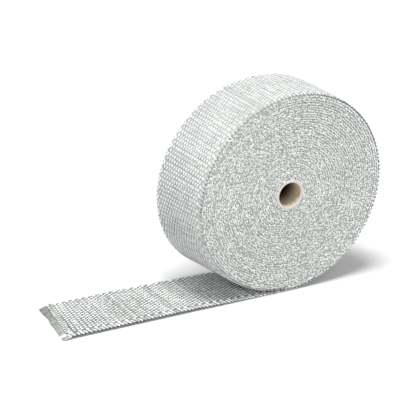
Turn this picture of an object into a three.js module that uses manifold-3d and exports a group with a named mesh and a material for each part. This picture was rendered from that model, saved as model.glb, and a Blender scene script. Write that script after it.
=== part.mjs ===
// A roll of woven glass-fibre exhaust wrap standing on its rim, with its free end lying flat in front.
// Millimetres, +Z up. The roll's axis runs along Y, the loose end runs towards -X, and the floor is z = 0.
// The origin is on the floor, under the roll's axis, halfway across the tape's width.

import * as THREE from 'three';
import { mergeVertices } from 'three/addons/utils/BufferGeometryUtils.js';
import Module from 'manifold-3d';

// Driving dimensions
const tapeWidth = 50;
const tapeThickness = 1.6;
const turns = 38;
const tailLength = 161;
const endSkew = 12;
const selvedgeDepth = 0.5;
const coreBore = 17.5;
const coreWall = 1.9;
const sealLength = 9;
const sealOverlap = 5;
const sealFilm = 0.3;
const sealEndHeight = 0.9;
const clearance = 0.3;
const facets = 36;
const weldDistance = 1e-4;

// Sizes that follow from them
const coreRadius = coreBore / 2 + coreWall;
const woundInnerRadius = coreRadius + clearance;
const woundRadius = woundInnerRadius + turns * tapeThickness;
const axisHeight = woundRadius * Math.cos(Math.PI / facets);
const halfWidth = tapeWidth / 2;
const sealMouth = -tailLength - clearance;
const slotEnd = sealMouth - sealOverlap;
const sealEnd = sealMouth - sealLength;

// A ring of the closed outline (radius, height), turned about the Y axis with one facet flat on the floor
function turned(outline) {
  const points = outline.map(([radius, height]) => new THREE.Vector2(radius, height));
  const geometry = new THREE.LatheGeometry([...points, points[0].clone()], facets);
  geometry.rotateY(Math.PI / facets);
  return geometry.translate(0, 0, axisHeight);
}

// A side outline (x, z) made as wide as the tape. Everything short of the axis follows the slanted cut,
// so the near edge reaches further than the far one.
function acrossWidth(outline) {
  const shape = new THREE.Shape(outline.map(([x, z]) => new THREE.Vector2(x, z)));
  const geometry = new THREE.ExtrudeGeometry(shape, { depth: tapeWidth, bevelEnabled: false });
  geometry.rotateX(Math.PI / 2).translate(0, halfWidth, 0);
  const position = geometry.attributes.position;
  for (let i = 0; i < position.count; i += 1) {
    const x = position.getX(i);
    if (x < 0) position.setX(i, x + endSkew * position.getY(i) / tapeWidth);
  }
  return geometry;
}

// The wound turns seen in section: each turn's woven edge is a ridge, with a groove between turns
function woundOutline() {
  const nearEnd = [];
  for (let turn = 0; turn < turns; turn += 1) {
    const inner = woundInnerRadius + turn * tapeThickness;
    nearEnd.push([inner, selvedgeDepth - halfWidth]);
    nearEnd.push([inner + tapeThickness / 2, -halfWidth]);
  }
  nearEnd.push([woundRadius, selvedgeDepth - halfWidth]);
  const farEnd = nearEnd.map(([radius, y]) => [radius, -y]).reverse();
  return [...nearEnd, ...farEnd];
}

// The loose end seen from the side: a flat strip whose cut end is pinched thin where the seal holds it
function tailOutline() {
  const pinched = clearance + sealFilm;
  const tip = slotEnd + clearance;
  return [
    [0, 0], [0, tapeThickness], [-tailLength, tapeThickness], [-tailLength, tapeThickness - pinched],
    [tip, tapeThickness - pinched], [tip, pinched], [-tailLength, pinched], [-tailLength, 0],
  ];
}

// The film folded over the cut end, seen from the side: a sleeve that thins towards its fold
function sealOutline() {
  return [
    [sealMouth, 0], [sealMouth, sealFilm], [slotEnd, sealFilm], [slotEnd, tapeThickness - sealFilm],
    [sealMouth, tapeThickness - sealFilm], [sealMouth, tapeThickness], [slotEnd, tapeThickness],
    [sealEnd, sealEndHeight], [sealEnd, 0],
  ];
}

const library = await Module();
library.setup();

function toSolid(geometry) {
  geometry.deleteAttribute('normal');
  geometry.deleteAttribute('uv');
  const merged = mergeVertices(geometry, weldDistance);
  return new library.Manifold(new library.Mesh({
    numProp: 3,
    vertProperties: new Float32Array(merged.attributes.position.array),
    triVerts: new Uint32Array(merged.index.array),
  }));
}

function toGeometry(solid) {
  const mesh = solid.getMesh();
  const geometry = new THREE.BufferGeometry();
  geometry.setAttribute('position', new THREE.BufferAttribute(mesh.vertProperties, 3));
  geometry.setIndex(new THREE.BufferAttribute(mesh.triVerts, 1));
  geometry.computeVertexNormals();
  return geometry;
}

function named(name, geometry, material) {
  const mesh = new THREE.Mesh(geometry, new THREE.MeshStandardMaterial(material));
  mesh.name = name;
  return mesh;
}

// One strip of woven tape: the wound roll and its loose end are the same piece
function wrapTape() {
  const strip = toSolid(turned(woundOutline())).add(toSolid(acrossWidth(tailOutline())));
  return named('wrap_tape', toGeometry(strip), { color: 0xd3d8d4, roughness: 0.85, metalness: 0 });
}

// The cardboard tube that the tape is wound on, as long as the tape is wide
function coreTube() {
  const outline = [
    [coreBore / 2, -halfWidth], [coreRadius, -halfWidth], [coreRadius, halfWidth], [coreBore / 2, halfWidth],
  ];
  return named('core_tube', turned(outline), { color: 0xd9cbb4, roughness: 0.8, metalness: 0 });
}

// The clear film folded round the cut end, which keeps the weave from fraying
function endSeal() {
  return named('end_seal', acrossWidth(sealOutline()), { color: 0xc4c9c6, roughness: 0.25, metalness: 0 });
}

const heatWrap = new THREE.Group();
heatWrap.add(wrapTape(), coreTube(), endSeal());

export default heatWrap;
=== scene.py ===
"""A roll of woven glass-fibre exhaust wrap on its cardboard core, standing on its rim with its end laid flat.

The tape is built from its yarns: picks of doubled weft, each a long closed loop that turns back in a
hairpin at both edges, and the warp ends that they pass over and under. Places on the tape are given as
s, the distance along it from the point where it leaves the roll (negative on the laid end), y across it
and h, the height from its middle surface. All sizes are in metres.
"""

import math

import bpy
import numpy as np
from mathutils import Matrix, Vector


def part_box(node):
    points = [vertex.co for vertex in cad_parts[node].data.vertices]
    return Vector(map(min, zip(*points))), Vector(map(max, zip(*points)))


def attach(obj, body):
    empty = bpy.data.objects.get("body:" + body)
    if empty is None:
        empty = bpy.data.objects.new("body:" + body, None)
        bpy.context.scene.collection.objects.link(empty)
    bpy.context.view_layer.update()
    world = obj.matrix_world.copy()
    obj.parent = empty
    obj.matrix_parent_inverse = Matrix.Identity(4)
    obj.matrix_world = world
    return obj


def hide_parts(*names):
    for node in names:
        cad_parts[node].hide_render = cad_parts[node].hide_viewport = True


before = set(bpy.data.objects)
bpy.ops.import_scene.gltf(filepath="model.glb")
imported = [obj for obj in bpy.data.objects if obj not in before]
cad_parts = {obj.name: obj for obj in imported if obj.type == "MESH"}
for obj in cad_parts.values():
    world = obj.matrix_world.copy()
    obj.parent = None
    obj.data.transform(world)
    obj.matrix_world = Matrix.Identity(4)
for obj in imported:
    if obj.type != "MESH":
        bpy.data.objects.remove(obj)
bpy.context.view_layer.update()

MM = 0.001
SEED = 11

# Sizes that the frame gives. The folded film is as high as the tape is thick.
tape_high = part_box("wrap_tape")[1]
core_low, core_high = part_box("core_tube")
seal_low, seal_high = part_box("end_seal")
AXIS_HEIGHT = tape_high[2] / 2
ROLL_RADIUS = AXIS_HEIGHT
HALF_WIDTH = tape_high[1]
THICKNESS = seal_high[2] - seal_low[2]
CORE_RADIUS = (core_high[0] - core_low[0]) / 2

# The laid end: where its weave and its film stop, its slanted cut, and how far and how soon its edges lift
WEAVE_END = -164.6 * MM
FILM_END = -170.1 * MM
CUT_SKEW = 13 / 50
LIFT_START = -25 * MM
NEAR_LIFT = 1.6 * MM
NEAR_RISE = 3
FAR_LIFT = 2.7 * MM
FAR_RISE = 1.5

# The weave
PICK = 2.85 * MM
WARP_PITCH = 1.35 * MM
WARP_ENDS = 32
WARP_NEAR = -19.6 * MM
WARP_FAR = WARP_NEAR + (WARP_ENDS - 1) * WARP_PITCH
WARP_FADE = 0.7 * WARP_PITCH
STRAND_OFFSET = 0.42 * MM
FAR_SPREAD = 0.3 * MM
STRAND_HALF_WIDTH = 0.6 * MM
STRAND_HALF_THICKNESS = 0.5 * MM
NEAR_MARGIN_WIDTH = 0.76
CROWN_WIDTH = 0.2
HAIRPIN_DEPTH = 0.8 * MM
WEFT_WAVE = 0.26 * MM
EDGE_TILT = 0.1 * MM
WARP_HALF_WIDTH = 0.56 * MM
WARP_HALF_THICKNESS = 0.2 * MM
WARP_WAVE = 0.5 * MM
HOOK = 1.7 * MM
FAR_HOOK = 0.3 * MM
ROLL_SKEW = 0.02
SKEW_POWER = 5
EDGE_Y = HALF_WIDTH - HAIRPIN_DEPTH - STRAND_HALF_WIDTH

# The yarns' random drift
PICK_DRIFT = 0.12 * MM
STRAND_WANDER = 0.22 * MM
STRAND_WANDER_STEP = 4
WARP_WANDER = 0.12 * MM
WARP_WANDER_STEP = 24
HAIRPIN_SPREAD = 0.1
STRAND_SPREAD = 0.05
WARP_SPREAD = 0.1

# The yarns' brightness, as the tone value that their material reads. Much of it is painted shade: the crown tones make
# a yarn lighter where it rises over the crossing yarns and darker where it sinks under them, and the warp levels keep
# the warp darker than the weft.
WEFT_TONE = 0.5
CROWN_PAINTED_SHADE = 0.38
MARGIN_TONE = 0.52
FACING_TONE = 0.08
PICK_TONE_SPREAD = 0.08
STRAND_TONE_SPREAD = 0.1
RIM_WARP_PAINTED_SHADE = 0.16
TAIL_WARP_PAINTED_SHADE = 0.14
WARP_CROWN_PAINTED_SHADE = 0.12
WARP_TONE_SPREAD = 0.07

# The filaments of a yarn round its girth, and how far they turn in a millimetre
FILAMENTS = 6.0
FILAMENT_TWIST = 0.9

# The bends of the weft that cover the roll's ends. Those round the calm place lie smoother.
LOOP_REACH = (0.3 * MM, 0.8 * MM)
LOOP_HALF_WIDTH = (0.36 * MM, 0.52 * MM)
LOOP_HALF_THICKNESS = 0.56 * MM
LOOP_BOW = 0.6 * MM
LOOP_TILT = 0.3 * MM
LOOP_DRIFT = 0.26 * MM
LOOP_SWAY = 0.8 * MM
LOOP_SWAY_STEP = 31
LOOP_STAGGER = 0.24 * MM
LOOP_PROUD = 0.16 * MM
FACE_WAVE = 0.12 * MM
FACE_WAVE_STEP = 27
CALM_PLACE = (125, 65, 55)
CALM = 0.5
LOOP_TONE = 0.46
LOOSE_TONE = 0.08
LOOP_TONE_SPREAD = 0.14
LOOP_END_PAINTED_SHADE = 0.22
LOOP_LEAN_TONE = 0.06
SPECK_SHARE = 0.12
SPECK_TONE = -0.34

# The winding, and its bumps off a true circle: height, then middle and reach before and after it in degrees
INNER_RADIUS = CORE_RADIUS + 0.4 * MM
OUTER_MIDDLE = ROLL_RADIUS - THICKNESS / 2
TURNS = (ROLL_RADIUS - INNER_RADIUS) / THICKNESS
NEAR_BUMPS = [(2.6 * MM, 140, 145, 100), (1.3 * MM, 260, 110, 90)]
FAR_BUMPS = [(2.6 * MM, 90, 80, 50), (6.5 * MM, 297, 105, 60), (-1.6 * MM, 177, 50, 50)]
BUMP_POWER = 3

# The solid middle of the tape, under its yarns: lowest and highest h, and how far its edge keeps back
RIM_GROUND = (-0.15 * MM, 0.15 * MM, 2.0 * MM)
WOUND_GROUND = (-0.74 * MM, 0.9 * MM, 1.1 * MM)
TAIL_GROUND = (-0.15 * MM, 0.45 * MM, 1.1 * MM)
GROUND_RIDGE = 0.4 * MM

# The core, a little proud of the tape, and how far from its middle the painted shade in the bore starts and stops
# darkening
BORE_RADIUS = CORE_RADIUS - 1.85 * MM
RING_RADIUS = CORE_RADIUS + 0.15 * MM
CORE_END = HALF_WIDTH + 0.1 * MM
CORE_LIP = 0.3 * MM
CORE_ROWS = 40
CORE_SEGMENTS = 72
BORE_SHADE_FROM = 22 * MM
BORE_SHADE_TO = 6 * MM

# The film over the cut end, with across from -1 to 1 over its width and along from 0 to 1 to its fold
FILM_START = WEAVE_END + 1.2 * MM
FILM_ROWS = 14
FILM_COLUMNS = 120
FILM_NARROWING = 0.4 * MM
FILM_CORNER = 1.6 * MM
FILM_CORNER_POWER = 6
FLAP_FROM = 0.4
FLAP_REACH = 1.7 * MM
FILM_EDGE_WAVE = 0.3 * MM
FILM_EDGE_STEP = 17
PLEAT = 0.22 * MM
PLEAT_STEP = 4
RIPPLE = 0.09 * MM
RIPPLES_ACROSS = 31
RIPPLES_ALONG = 3
CREASE_RUN = 0.9
SETTLING = 0.9
SETTLING_POWER = 0.6
PRESSING = 0.75
FILM_UNDERSIDE = 0.1 * MM
FILM_LEAST = 0.25 * MM
FILM_TONE = 0.46
FILM_TONE_ACROSS = 0.16
FILM_TONE_ALONG = 0.22
STREAK_TONE_SPREAD = 0.09
GLINT_PLACE = -0.78
GLINT_WIDTH = 0.045
GLINT_TONE = 0.6
FOLD_PLACES = (-0.87, -0.95)
FOLD_WIDTH = 0.02
FOLD_PAINTED_SHADE = 0.3

# The camera, as fitted to the photo, and the stage
CAMERA_AZIMUTH = math.radians(33.2)
CAMERA_ELEVATION = math.radians(23.5)
CAMERA_ROLL = math.radians(2.3)
CAMERA_DISTANCE = 100 * ROLL_RADIUS
CAMERA_TARGET = Vector((-0.690, 0, 0.868)) * ROLL_RADIUS
FOCAL_PIXELS = 10622
IMAGE_PIXELS = 416
FLOOR_HALF = 3.0
FLOOR_DROP = 0.02 * MM
FLOOR_SHADE = 0.74
SKY_STRENGTH = 0.43
LAMP_AIM = Vector((-0.03, 0, 0.05))
LAMPS = [
    ("key", (-0.58, -0.52, 4.0), 1.7, 163),
    ("side", (-2.6, 1.2, 1.6), 1.4, 42),
    ("front", (-0.8, -2.8, 1.6), 1.6, 35),
]


def arc_at(angle):
    """The distance along the wound tape at a winding angle."""
    return OUTER_MIDDLE * angle - THICKNESS * angle * angle / (4 * math.pi)


FIRST_TURN = arc_at(2 * math.pi)
WOUND_LENGTH = arc_at(2 * math.pi * TURNS)


def angle_at(s):
    """The winding angle at a distance along the wound tape."""
    inside = np.maximum(OUTER_MIDDLE**2 - THICKNESS * np.maximum(s, 0) / math.pi, 1e-12)
    return (OUTER_MIDDLE - np.sqrt(inside)) * 2 * math.pi / THICKNESS


def lift_at(s, y):
    """How far the laid end is off the floor: it twists a little, so its far edge rises towards the cut."""
    far_share = (y + HALF_WIDTH) / (2 * HALF_WIDTH)
    away = np.maximum((LIFT_START - s) / (LIFT_START - WEAVE_END), 0)
    near = NEAR_LIFT * np.minimum(NEAR_RISE * away, 1)
    far = FAR_LIFT * np.minimum(FAR_RISE * away, 1)
    return near * (1 - far_share) + far * far_share


def bump(angle, centre, before, after):
    """A smooth rise from 0 to 1 and back, by a winding angle. Its centre and its reach to both sides are in degrees."""
    away = np.degrees(angle) % 360 - centre
    return np.cos(math.pi / 2 * np.clip(away / np.where(away < 0, before, after), -1, 1)) ** 2


def out_of_round(angle, y):
    """How far the outer turn stands off its true circle. It bulges most at the back, low on the left."""
    far_share = (y + HALF_WIDTH) / (2 * HALF_WIDTH)
    near = sum(height * bump(angle, *place) for height, *place in NEAR_BUMPS)
    far = sum(height * bump(angle, *place) for height, *place in FAR_BUMPS)
    return near * (1 - far_share) + far * far_share


def on_tape(s, y, h):
    """Points and outward normals for places on the tape, with x, y and z on a last axis."""
    s, y, h = np.broadcast_arrays(*(np.asarray(value, float) for value in (s, y, h)))
    angle = angle_at(s)
    radius = OUTER_MIDDLE - THICKNESS * angle / (2 * math.pi) + h
    radius = radius + out_of_round(angle, y) * (radius / OUTER_MIDDLE) ** BUMP_POWER
    wound = s > 0
    x = np.where(wound, radius * np.sin(angle), s)
    z = np.where(wound, AXIS_HEIGHT - radius * np.cos(angle), THICKNESS / 2 - h + lift_at(s, y))
    normal_x = np.where(wound, np.sin(angle), 0)
    normal_z = np.where(wound, -np.cos(angle), -1)
    return np.stack([x, y, z], -1), np.stack([normal_x, np.zeros_like(x), normal_z], -1)


def skew_at(s):
    """How far the picks lean along the tape for each unit across it."""
    share = np.clip(np.asarray(s) / WEAVE_END, 0, 1)
    return ROLL_SKEW + (CUT_SKEW - ROLL_SKEW) * share**SKEW_POWER


def unit(vectors):
    """The same directions at length 1."""
    return vectors / np.maximum(np.linalg.norm(vectors, axis=-1, keepdims=True), 1e-12)


def new_object(name, parts, material, smooth=True):
    """A mesh object of quads, from its points and quads, and if it has them a UV map and a tone a point."""
    points, quads, uv, tone = (*parts, None, None)[:4]
    mesh = bpy.data.meshes.new(name)
    mesh.vertices.add(len(points))
    mesh.vertices.foreach_set("co", np.ascontiguousarray(points, np.float32).ravel())
    mesh.loops.add(quads.size)
    mesh.loops.foreach_set("vertex_index", np.ascontiguousarray(quads, np.int32).ravel())
    mesh.polygons.add(len(quads))
    mesh.polygons.foreach_set("loop_start", np.arange(0, quads.size, 4, dtype=np.int32))
    mesh.polygons.foreach_set("use_smooth", np.full(len(quads), smooth))
    if uv is not None:
        layer = mesh.uv_layers.new(name="UVMap")
        layer.data.foreach_set("uv", np.ascontiguousarray(uv, np.float32).ravel())
    if tone is not None:
        attribute = mesh.attributes.new("tone", "FLOAT", "POINT")
        attribute.data.foreach_set("value", np.ascontiguousarray(tone, np.float32).ravel())
    mesh.update(calc_edges=True)
    mesh.validate()
    mesh.materials.append(material)
    piece = bpy.data.objects.new(name, mesh)
    bpy.context.scene.collection.objects.link(piece)
    return piece


def tube_mesh(centre, lift, half_across, half_lift, tone, sides, closed):
    """Tubes along rows of points, closed into rings or capped. All arrays are tubes by points."""
    tubes, count = centre.shape[:2]
    if closed:
        tangent = unit(np.roll(centre, -1, axis=1) - np.roll(centre, 1, axis=1))
    else:
        tangent = unit(np.gradient(centre, axis=1))
    lift = unit(lift - tangent * np.sum(lift * tangent, -1, keepdims=True))
    across = np.cross(lift, tangent)
    turn = 2 * math.pi * (np.arange(sides) + 0.5) / sides
    cos, sin = np.cos(turn)[None, None, :, None], np.sin(turn)[None, None, :, None]
    half_across = np.broadcast_to(half_across, (tubes, count))[:, :, None, None]
    half_lift = np.broadcast_to(half_lift, (tubes, count))[:, :, None, None]
    ring = centre[:, :, None] + across[:, :, None] * half_across * cos + lift[:, :, None] * half_lift * sin
    index = np.arange(tubes * count * sides).reshape(tubes, count, sides)
    ahead = np.roll(index, -1, axis=1)
    here, ahead = (index, ahead) if closed else (index[:, :-1], ahead[:, :-1])
    quads = np.stack([here, np.roll(here, -1, axis=2), np.roll(ahead, -1, axis=2), ahead], -1)
    step = np.linalg.norm(np.roll(centre, -1, axis=1) - centre, axis=-1) / MM
    along = np.concatenate([np.zeros((tubes, 1)), np.cumsum(step, axis=1)], axis=1)
    runs = quads.shape[1]
    corner = np.arange(sides)
    low, high = corner / sides, (corner + 1) / sides
    start, end = along[:, :runs, None], along[:, 1 : runs + 1, None]
    places = [(start, low), (start, high), (end, high), (end, low)]
    uv = np.stack([np.stack(np.broadcast_arrays(u, v + 0 * u), -1) for u, v in places], 3).reshape(-1, 4, 2)
    quads = quads.reshape(-1, 4)
    if not closed:
        fan = [[0, k + 2, k + 1, k] for k in range(1, sides - 1, 2)]
        front = index[:, 0][:, fan].reshape(-1, 4)
        back = index[:, -1][:, [corners[::-1] for corners in fan]].reshape(-1, 4)
        quads = np.concatenate([quads, front, back])
        uv = np.concatenate([uv, np.zeros((len(front) + len(back), 4, 2))])
    tones = np.broadcast_to(tone[:, :, None], index.shape)
    return ring.reshape(-1, 3), quads, uv, tones.reshape(-1)


def smooth_noise(count, step, amount, rng):
    """Slow random drift: random values every step places, joined smoothly."""
    knots = rng.normal(0, amount, count // step + 3)
    place = np.arange(count) / step
    index = place.astype(int)
    share = place - index
    share = share * share * (3 - 2 * share)
    return knots[index] * (1 - share) + knots[index + 1] * share


def smooth_field(rows, count, step, amount, rng):
    """Rows of slow random drift, each on its own."""
    return np.stack([smooth_noise(count, step, amount, rng) for _ in range(rows)])


def hairpin(swing, side, depth):
    """The bend that a pick's two strands make at one edge: its share along the tape, and how far across."""
    return np.sin(swing), side * (EDGE_Y + depth * np.cos(swing))


def build_weft(name, picks, facing, between, material, rng):
    """A stretch of picks: each goes over and under the warp to the far edge and comes back beside itself.

    Facing is 1 where the tape's outer side shows and -1 on the laid end, where its inner side does.
    Between is the number of points for each warp end.
    """
    count = len(picks)
    ends = np.arange(WARP_ENDS * between + 1 - between)
    margin = [-EDGE_Y, -EDGE_Y / 2 + WARP_NEAR / 2]
    crossing = np.concatenate([margin, ends * WARP_PITCH / between + WARP_NEAR, [EDGE_Y]])
    swing = np.array([-1, 0, 1]) * math.pi / 4
    depth = HAIRPIN_DEPTH * (1 + rng.normal(0, HAIRPIN_SPREAD, (count, 1)))
    far, near = hairpin(swing, 1, depth), hairpin(-swing, -1, depth)
    spread = np.ones((count, 1))
    y = np.concatenate([crossing * spread, far[1], crossing[::-1] * spread, near[1]], 1)
    strand = np.concatenate([-1 + 0 * crossing, far[0], 1 + 0 * crossing, near[0]])[None] * spread
    parity = np.where(picks % 2 == 0, 1.0, -1.0)[:, None]
    outside = np.maximum(WARP_NEAR - y, y - WARP_FAR)
    woven = np.clip(1 - outside / WARP_FADE, 0, 1)
    wave = parity * np.cos(math.pi * (y - WARP_NEAR) / WARP_PITCH)
    h = WEFT_WAVE * wave * woven + EDGE_TILT * strand * (1 - woven)
    inside = np.clip(1 - (y / EDGE_Y) ** 2, 0, 1)
    wander = smooth_field(count, y.shape[1], STRAND_WANDER_STEP * between, STRAND_WANDER, rng) * inside
    far_margin = np.clip((y - WARP_FAR) / (EDGE_Y - WARP_FAR), 0, 1)
    apart = strand * (STRAND_OFFSET + FAR_SPREAD * far_margin)
    hook = np.where(y < 0, HOOK, FAR_HOOK) * (np.maximum(outside, 0) / (HALF_WIDTH + WARP_NEAR)) ** 2
    s = (picks * PICK + rng.normal(0, PICK_DRIFT, count))[:, None] + apart + wander + hook
    s = s + skew_at(s) * y
    centre, normal = on_tape(s, y, h)
    base = rng.normal(0, PICK_TONE_SPREAD, (count, 1)) + rng.normal(0, STRAND_TONE_SPREAD, h.shape)
    crown = np.clip(facing * wave, -1, 1)
    margin_tone = MARGIN_TONE - FACING_TONE * facing
    # Painted shade: a strand is lighter where it rises over the warp and darker where it sinks under it.
    tone = base + woven * (WEFT_TONE + CROWN_PAINTED_SHADE * crown) + (1 - woven) * margin_tone
    full = NEAR_MARGIN_WIDTH + (1 - NEAR_MARGIN_WIDTH) * np.maximum(woven, far_margin)
    width = STRAND_HALF_WIDTH * (full + CROWN_WIDTH * woven * crown + rng.normal(0, STRAND_SPREAD, h.shape))
    thickness = STRAND_HALF_THICKNESS * (1 + rng.normal(0, STRAND_SPREAD, h.shape))
    return new_object(name, tube_mesh(centre, normal, width, thickness, tone, 5, True), material)


def build_warp(name, start, end, facing, painted_shade, material, rng):
    """The warp ends over a stretch of tape, each passing over and under pick after pick."""
    ends = np.arange(WARP_ENDS)[:, None]
    steps = int(round((end - start) / PICK)) * 2 + 1
    run = np.linspace(start, end, steps)[None]
    y = ends * WARP_PITCH + WARP_NEAR + smooth_field(WARP_ENDS, steps, WARP_WANDER_STEP, WARP_WANDER, rng)
    s = run + skew_at(run) * y
    wave = -np.cos(math.pi * (run / PICK + ends))
    centre, normal = on_tape(s, y, WARP_WAVE * wave)
    base = rng.normal(0, WARP_TONE_SPREAD, (WARP_ENDS, 1)) + rng.normal(0, WARP_TONE_SPREAD, wave.shape)
    # Painted shade: the warp sits at a darker level than the weft, lighter on its crowns and darker where it sinks
    # under the picks.
    tone = painted_shade + base + WARP_CROWN_PAINTED_SHADE * facing * wave
    width = WARP_HALF_WIDTH * (1 + rng.normal(0, WARP_SPREAD, wave.shape))
    return new_object(name, tube_mesh(centre, normal, width, WARP_HALF_THICKNESS, tone, 6, False), material)


def build_end_loops(name, side, material, rng):
    """The bends of the weft's strands on one end of the roll, over every turn but the outermost."""
    pitch = PICK / 2
    count = int((WOUND_LENGTH - FIRST_TURN) / pitch) - 2
    swing = np.linspace(-1, 1, 4)[None]
    drift = smooth_noise(count, LOOP_SWAY_STEP, LOOP_SWAY, rng) + rng.normal(0, LOOP_DRIFT, count)
    middle = (FIRST_TURN + (np.arange(count) + 1.5) * pitch + drift)[:, None]
    loose = 1 - CALM * bump(angle_at(middle), *CALM_PLACE)
    reach = rng.uniform(*LOOP_REACH, (count, 1))
    face = smooth_noise(count, FACE_WAVE_STEP, FACE_WAVE, rng)[:, None]
    proud = loose * (face + rng.normal(0, LOOP_PROUD, (count, 1)))
    y = side * (HALF_WIDTH - STRAND_HALF_WIDTH + proud - LOOP_BOW * swing**2)
    s = middle + reach * swing + ROLL_SKEW * y
    h = LOOP_TILT * swing * rng.normal(0.4, 1.0, (count, 1)) + rng.normal(0, LOOP_STAGGER, (count, 1))
    centre, normal = on_tape(s, y, h)
    speck = np.where(rng.random((count, 1)) < SPECK_SHARE, SPECK_TONE, 0)
    # Painted shade: each loop is darker towards its ends, where it bows into the end face.
    own = rng.normal(0, LOOP_TONE_SPREAD, (count, 1)) + speck - LOOP_END_PAINTED_SHADE * swing**2
    tone = LOOP_TONE + LOOSE_TONE * loose + loose * own + LOOP_LEAN_TONE * swing
    width = rng.uniform(*LOOP_HALF_WIDTH, (count, 1)) + 0 * swing
    return new_object(name, tube_mesh(centre, normal, width, LOOP_HALF_THICKNESS, tone, 4, False), material)


def strip_mesh(s, section):
    """A closed strip along the tape with the section's (y, h) points, the same all the way."""
    y = np.array([p[0] for p in section])[None]
    h = np.array([p[1] for p in section])[None]
    lean = skew_at(s)[:, None] * y
    points, _ = on_tape(s[:, None] + lean, y, h)
    rows, sides = points.shape[:2]
    index = np.arange(rows * sides).reshape(rows, sides)
    after = np.roll(index, -1, axis=1)
    quads = np.stack([index[:-1], after[:-1], after[1:], index[1:]], -1).reshape(-1, 4)
    closing = [(0, (0, 3, 2, 1)), (0, (0, 5, 4, 3)), (-1, (0, 1, 2, 3)), (-1, (0, 3, 4, 5))]
    caps = [[index[row, corner] for corner in corners] for row, corners in closing]
    return points.reshape(-1, 3), np.concatenate([quads, np.array(caps)])


def ground_section(low, high, inset):
    """Six (y, h) points: a flat strip whose two edges come to a soft ridge."""
    edge = HALF_WIDTH - inset
    ridge, middle = edge + GROUND_RIDGE, (low + high) / 2
    return [(-edge, low), (edge, low), (ridge, middle), (edge, high), (-edge, high), (-ridge, middle)]


def build_ground(name, start, end, section, material):
    """The solid middle of a stretch of tape, with a section from ground_section's three sizes."""
    rows = int((end - start) / PICK)
    points, quads = strip_mesh(np.linspace(start, end, rows), ground_section(*section))
    return new_object(name, (points, quads), material)


def lathe_y(name, outline, segments, material):
    """A ring of the closed (radius, y) outline about the roll's axis."""
    turn = np.linspace(0, 2 * math.pi, segments, endpoint=False)[:, None]
    radius = np.array([p[0] for p in outline])[None]
    y = np.array([p[1] for p in outline])[None]
    points = np.stack([radius * np.sin(turn), y + 0 * turn, AXIS_HEIGHT - radius * np.cos(turn)], -1)
    index = np.arange(points.shape[0] * points.shape[1]).reshape(points.shape[:2])
    nxt, side = np.roll(index, -1, axis=0), np.roll(index, -1, axis=1)
    both = np.roll(nxt, -1, axis=1)
    quads = np.stack([index, side, both, nxt], -1).reshape(-1, 4)
    return new_object(name, (points.reshape(-1, 3), quads), material)


# Materials


def add_node(tree, kind, **values):
    """A node with values for its input sockets or its own settings, by name."""
    node = tree.nodes.new(kind)
    for key, value in values.items():
        if key in node.inputs:
            node.inputs[key].default_value = value
        else:
            setattr(node, key, value)
    return node


def shader(name, roughness, **values):
    """A plain material. Other inputs go by their socket names, with underscores for the spaces."""
    material = bpy.data.materials.new(name)
    material.use_nodes = True
    tree = material.node_tree
    principled = tree.nodes["Principled BSDF"]
    principled.inputs["Roughness"].default_value = roughness
    for key, value in values.items():
        principled.inputs[key.replace("_", " ")].default_value = value
    return material, tree, principled


def ramp(tree, level, stops):
    """A level made into a colour, by its (level, colour) stops."""
    node = tree.nodes.new("ShaderNodeValToRGB")
    elements = node.color_ramp.elements
    while len(elements) < len(stops):
        elements.new(0.5)
    for element, (place, color) in zip(elements, stops):
        element.position = place
        element.color = (*color, 1)
    tree.links.new(level, node.inputs["Fac"])
    return node.outputs["Color"]


def object_noise(tree, scale, detail, stretch=None):
    """Noise fixed to the piece, finer or coarser along each axis where a stretch is given."""
    place = add_node(tree, "ShaderNodeTexCoord").outputs["Object"]
    if stretch:
        mapping = add_node(tree, "ShaderNodeMapping", Scale=stretch)
        tree.links.new(place, mapping.inputs["Vector"])
        place = mapping.outputs["Vector"]
    noise = add_node(tree, "ShaderNodeTexNoise", Scale=scale, Detail=detail)
    tree.links.new(place, noise.inputs["Vector"])
    return noise.outputs["Fac"]


def scaled_sum(tree, source, factor, onto):
    """A source times a factor, added onto another value."""
    node = add_node(tree, "ShaderNodeMath", operation="MULTIPLY_ADD")
    tree.links.new(source, node.inputs[0])
    node.inputs[1].default_value = factor
    tree.links.new(onto, node.inputs[2])
    return node.outputs[0]


def roughen(tree, principled, height, strength, distance):
    """A fine relief on a material's surface."""
    node = add_node(tree, "ShaderNodeBump", Strength=strength, Distance=distance)
    tree.links.new(height, node.inputs["Height"])
    tree.links.new(node.outputs["Normal"], principled.inputs["Normal"])


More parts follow.
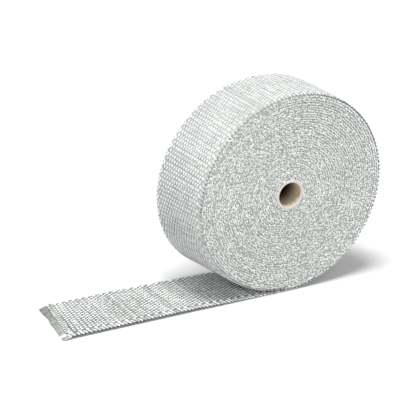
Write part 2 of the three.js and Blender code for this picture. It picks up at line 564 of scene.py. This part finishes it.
def glass_fibre(name, dark, middle, light):
    """White glass yarn: twisted filaments from the UV map, brightness from the tone, slow stains."""
    material, tree, principled = shader(name, 0.52, Sheen_Weight=0.15, Specular_IOR_Level=0.35)
    link = tree.links.new
    tone = add_node(tree, "ShaderNodeAttribute", attribute_name="tone")
    uv = add_node(tree, "ShaderNodeUVMap", uv_map="UVMap")
    split = add_node(tree, "ShaderNodeSeparateXYZ")
    link(uv.outputs["UV"], split.inputs["Vector"])
    turns = add_node(tree, "ShaderNodeMath", operation="MULTIPLY")
    turns.inputs[1].default_value = FILAMENTS
    link(split.outputs["Y"], turns.inputs[0])
    strand = add_node(tree, "ShaderNodeCombineXYZ")
    link(scaled_sum(tree, split.outputs["X"], FILAMENT_TWIST, turns.outputs[0]), strand.inputs["X"])
    wave = add_node(tree, "ShaderNodeTexWave", Scale=1.0, Distortion=1.2, Detail=2.0)
    wave.bands_direction = "X"
    link(strand.outputs["Vector"], wave.inputs["Vector"])
    grain = object_noise(tree, 1400.0, 3.0)
    level = scaled_sum(tree, wave.outputs["Fac"], 0.16, tone.outputs["Fac"])
    level = scaled_sum(tree, grain, 0.24, level)
    level = scaled_sum(tree, object_noise(tree, 34.0, 2.0), 0.28, level)
    lowered = add_node(tree, "ShaderNodeMath", operation="SUBTRACT")
    lowered.inputs[1].default_value = 0.34
    link(level, lowered.inputs[0])
    color = ramp(tree, lowered.outputs[0], [(0.08, dark), (0.42, middle), (0.82, light)])
    link(color, principled.inputs["Base Color"])
    relief = scaled_sum(tree, grain, 0.5, wave.outputs["Fac"])
    roughen(tree, principled, relief, 0.25, 0.15 * MM)
    return material


def gap_shade_fibre(name, low, high):
    """The depth between the yarns, seen only through the gaps, in a dark grey that is painted shade."""
    material, tree, principled = shader(name, 0.8)
    noise = object_noise(tree, 900.0, 3.0)
    color = ramp(tree, noise, [(0.3, low), (0.7, high)])
    tree.links.new(color, principled.inputs["Base Color"])
    roughen(tree, principled, noise, 0.5, 0.2 * MM)
    return material


def cardboard(name, low, high, middle=None):
    """Plain wound board: short fibres, faint streaks round the tube, and if it is given a darker middle colour, painted
    shade that darkens the bore towards the middle of the tube.
    """
    material, tree, principled = shader(name, 0.82, Specular_IOR_Level=0.1)
    link = tree.links.new
    noise = object_noise(tree, 700.0, 5.0, (1, 0.35, 1))
    surface = ramp(tree, noise, [(0.3, low), (0.7, high)])
    if middle:
        place = add_node(tree, "ShaderNodeTexCoord")
        split = add_node(tree, "ShaderNodeSeparateXYZ")
        link(place.outputs["Object"], split.inputs["Vector"])
        depth = add_node(tree, "ShaderNodeMath", operation="ABSOLUTE")
        link(split.outputs["Y"], depth.inputs[0])
        share = add_node(tree, "ShaderNodeMapRange", interpolation_type="SMOOTHSTEP")
        share.inputs["From Min"].default_value = BORE_SHADE_TO
        share.inputs["From Max"].default_value = BORE_SHADE_FROM
        link(depth.outputs[0], share.inputs["Value"])
        deep_shade = ramp(tree, noise, [(0.3, tuple(0.8 * c for c in middle)), (0.7, middle)])
        mix = add_node(tree, "ShaderNodeMix", data_type="RGBA")
        link(share.outputs["Result"], mix.inputs[0])
        link(deep_shade, mix.inputs[6])
        link(surface, mix.inputs[7])
        surface = mix.outputs[2]
    link(surface, principled.inputs["Base Color"])
    roughen(tree, principled, noise, 0.35, 0.1 * MM)
    return material


def film():
    """Creased clear film with glue and grey fibre under it. Its tone carries a painted highlight and painted shade
    along two folds.
    """
    material, tree, principled = shader("clear_film", 0.16, Coat_Weight=0.6, Coat_Roughness=0.08)
    tone = add_node(tree, "ShaderNodeAttribute", attribute_name="tone")
    noise = object_noise(tree, 420.0, 4.0, (0.3, 2.2, 1))
    level = scaled_sum(tree, noise, 0.4, tone.outputs["Fac"])
    stops = [
        (0.15, (0.1, 0.095, 0.085)),
        (0.5, (0.25, 0.26, 0.245)),
        (0.75, (0.4, 0.42, 0.4)),
        (1.0, (0.82, 0.83, 0.82)),
    ]
    tree.links.new(ramp(tree, level, stops), principled.inputs["Base Color"])
    roughen(tree, principled, noise, 0.4, 0.25 * MM)
    return material


# The camera, the floor and the light


def make_camera():
    """A long lens from the left of the near end face, a little above, as the roll's ellipses give it."""
    level = math.cos(CAMERA_ELEVATION)
    forward = Vector((
        math.sin(CAMERA_AZIMUTH) * level, math.cos(CAMERA_AZIMUTH) * level, -math.sin(CAMERA_ELEVATION)
    ))
    right = forward.cross(Vector((0, 0, 1))).normalized()
    up = right.cross(forward)
    leaned_right = right * math.cos(CAMERA_ROLL) + up * math.sin(CAMERA_ROLL)
    leaned_up = up * math.cos(CAMERA_ROLL) - right * math.sin(CAMERA_ROLL)
    turn = Matrix((leaned_right, leaned_up, -forward)).transposed()
    data = bpy.data.cameras.new("camera")
    data.sensor_width = 36
    data.lens = FOCAL_PIXELS / IMAGE_PIXELS * data.sensor_width
    data.clip_end = 100
    camera = bpy.data.objects.new("camera", data)
    camera.matrix_world = Matrix.Translation(CAMERA_TARGET - forward * CAMERA_DISTANCE) @ turn.to_4x4()
    bpy.context.scene.collection.objects.link(camera)
    bpy.context.scene.camera = camera


def make_floor():
    """A large white floor, a hair under the part."""
    material, _, _ = shader("floor_white", 0.9, Base_Color=(FLOOR_SHADE, FLOOR_SHADE, FLOOR_SHADE, 1))
    corners = np.array([[-1, -1, 0], [1, -1, 0], [1, 1, 0], [-1, 1, 0]]) * FLOOR_HALF
    corners[:, 2] = -FLOOR_DROP
    floor = new_object("floor", (corners, np.array([[0, 1, 2, 3]])), material)


def add_light(name, place, size, power):
    """A round lamp that faces the part."""
    data = bpy.data.lights.new(name, "AREA")
    data.shape = "DISK"
    data.size = size
    data.energy = power
    light = bpy.data.objects.new(name, data)
    light.location = place
    light.rotation_euler = (LAMP_AIM - Vector(place)).to_track_quat("-Z", "Y").to_euler()
    bpy.context.scene.collection.objects.link(light)


def make_light():
    """An even white surround and the lamps."""
    scene = bpy.context.scene
    scene.view_settings.view_transform = "Standard"
    world = bpy.data.worlds.new("studio")
    world.use_nodes = True
    background = world.node_tree.nodes["Background"]
    background.inputs["Color"].default_value = (1, 1, 1, 1)
    background.inputs["Strength"].default_value = SKY_STRENGTH
    scene.world = world
    for lamp in LAMPS:
        add_light(*lamp)


# The pieces


def finish_piece(piece, slot, *nodes):
    """Joins a piece to the root body and hides the frame's parts that it stands for."""
    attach(piece, "root")
    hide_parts(*nodes)


def build_tape():
    """The outer turn and the laid end from their yarns, the loops on both ends, and what lies under them."""
    rng = np.random.default_rng(SEED)
    # The three yarn materials are one white glass fibre, given different levels for the rim, the laid end and the end
    # faces as painted light and shade.
    rim_yarn = glass_fibre("rim_yarn", (0.24, 0.255, 0.245), (0.49, 0.505, 0.495), (0.72, 0.73, 0.722))
    tail_yarn = glass_fibre("tail_yarn", (0.11, 0.125, 0.115), (0.32, 0.345, 0.325), (0.86, 0.87, 0.865))
    loop_yarn = glass_fibre("loop_yarn", (0.44, 0.47, 0.45), (0.76, 0.785, 0.765), (0.95, 0.965, 0.95))
    # The ground under the yarns is coloured dark grey as painted shade of the gaps between them.
    roll_gap_shade = gap_shade_fibre("roll_gap_shade", (0.29, 0.31, 0.295), (0.46, 0.48, 0.465))
    tail_gap_shade = gap_shade_fibre("tail_gap_shade", (0.12, 0.135, 0.125), (0.23, 0.25, 0.235))
    last_tail_pick = int(round(WEAVE_END / PICK))
    rim_picks = np.arange(0, int(FIRST_TURN / PICK) + 1)
    tail_picks = np.arange(last_tail_pick, 0)
    pieces = [
        build_weft("weft_rim", rim_picks, 1, 1, rim_yarn, rng),
        build_warp("warp_rim", 0.0, FIRST_TURN, 1, RIM_WARP_PAINTED_SHADE, rim_yarn, rng),
        build_weft("weft_tail", tail_picks, -1, 2, tail_yarn, rng),
        build_warp("warp_tail", last_tail_pick * PICK, 0.0, -1, TAIL_WARP_PAINTED_SHADE, tail_yarn, rng),
        build_end_loops("end_loops_near", -1, loop_yarn, rng),
        build_end_loops("end_loops_far", 1, loop_yarn, rng),
        build_ground("rim_ground", 0.0, FIRST_TURN, RIM_GROUND, roll_gap_shade),
        build_ground("wound_ground", FIRST_TURN, WOUND_LENGTH, WOUND_GROUND, roll_gap_shade),
    ]
    for piece in pieces:
        finish_piece(piece, "woven_glass_fibre", "wrap_tape")
    ground = build_ground("tail_ground", WEAVE_END, 0.0, TAIL_GROUND, tail_gap_shade)
    finish_piece(ground, "woven_glass_fibre", "wrap_tape")


def build_core():
    """The cardboard tube, with its cut ends a little rounded and paler."""
    # The board's last colour is the painted shade deep in the bore.
    board = cardboard("core_board", (0.54, 0.455, 0.335), (0.74, 0.65, 0.51), (0.03, 0.018, 0.008))
    cut = cardboard("core_cut_end", (0.54, 0.5, 0.45), (0.66, 0.63, 0.59))
    straight = CORE_END - CORE_LIP
    bore = [(BORE_RADIUS, y) for y in np.linspace(-straight, straight, CORE_ROWS + 1)]
    far_end = [
        (BORE_RADIUS + 0.3 * CORE_LIP, CORE_END - 0.3 * CORE_LIP),
        (BORE_RADIUS + CORE_LIP, CORE_END),
        (RING_RADIUS - CORE_LIP, CORE_END),
        (RING_RADIUS, straight),
    ]
    near_end = [(radius, -y) for radius, y in reversed(far_end)]
    core = lathe_y("core_board", bore + far_end + near_end, CORE_SEGMENTS, board)
    core.data.materials.append(cut)
    middle = np.zeros(3 * len(core.data.polygons), np.float32)
    core.data.polygons.foreach_get("center", middle)
    at_end = np.abs(middle.reshape(-1, 3)[:, 1]) > straight
    core.data.polygons.foreach_set("material_index", at_end.astype(np.int32))
    finish_piece(core, "core_cardboard", "core_tube")


def build_seal():
    """The film folded over the cut end: pressed thin, creased along the tape, its far corner reaching out."""
    material = film()
    rng = np.random.default_rng(SEED + 1)
    across = np.linspace(-1, 1, FILM_COLUMNS)[:, None]
    along = np.linspace(0, 1, FILM_ROWS)[None]
    corner = FILM_CORNER * np.maximum(across, 0) ** FILM_CORNER_POWER
    y = across * (HALF_WIDTH - FILM_NARROWING * along + corner * along)
    far_flap = np.maximum((across - FLAP_FROM) / (1 - FLAP_FROM), 0)
    x = FILM_START + (FILM_END - FILM_START) * along + CUT_SKEW * y - FLAP_REACH * far_flap * along
    x = x - smooth_noise(FILM_COLUMNS, FILM_EDGE_STEP, FILM_EDGE_WAVE, rng)[:, None] * along
    ripple = RIPPLE * np.sin(across * RIPPLES_ACROSS + RIPPLES_ALONG * along)
    pleats = smooth_noise(FILM_COLUMNS, PLEAT_STEP, PLEAT, rng)[:, None] + ripple
    crease = pleats * np.sin(along * math.pi * CREASE_RUN)
    settled = lift_at(WEAVE_END, y) * (1 - SETTLING * along**SETTLING_POWER)
    base = settled + FILM_UNDERSIDE
    top = np.maximum(settled + THICKNESS * (1 - PRESSING * along) + crease, base + FILM_LEAST)
    grid = np.arange(FILM_COLUMNS * FILM_ROWS).reshape(FILM_COLUMNS, FILM_ROWS)
    a, b, c, d = grid[:-1, :-1], grid[1:, :-1], grid[1:, 1:], grid[:-1, 1:]
    upper = np.stack([a, d, c, b], -1).reshape(-1, 4)
    lower = np.stack([a, b, c, d], -1).reshape(-1, 4) + grid.size
    ring = np.concatenate([grid[:, 0], grid[-1, 1:], grid[::-1, -1][1:], grid[0, ::-1][1:-1]])
    after = np.roll(ring, -1)
    rim = np.stack([ring, after, after + grid.size, ring + grid.size], -1)
    streak = rng.normal(0, STREAK_TONE_SPREAD, (FILM_COLUMNS, 1))
    # Painted highlight near the near edge, and painted shade along the two fold lines.
    glint = np.clip(1.6 - np.abs((across - GLINT_PLACE) / GLINT_WIDTH), 0, 1) * np.clip(1.5 - along, 0, 1)
    fold_shade = sum(np.exp(-(((across - place) / FOLD_WIDTH) ** 2)) for place in FOLD_PLACES)
    tone = FILM_TONE - FILM_TONE_ACROSS * across - FILM_TONE_ALONG * along
    tone = np.clip(tone + GLINT_TONE * glint - FOLD_PAINTED_SHADE * fold_shade + streak, 0, 1).ravel()
    points = np.concatenate([np.stack([x, y, height], -1).reshape(-1, 3) for height in (top, base)])
    faces = np.concatenate([upper, lower, rim])
    seal = new_object("end_film", (points, faces, None, np.concatenate([tone, tone])), material)
    finish_piece(seal, "clear_film", "end_seal")


make_camera()
make_floor()
make_light()
build_tape()
build_core()
build_seal()
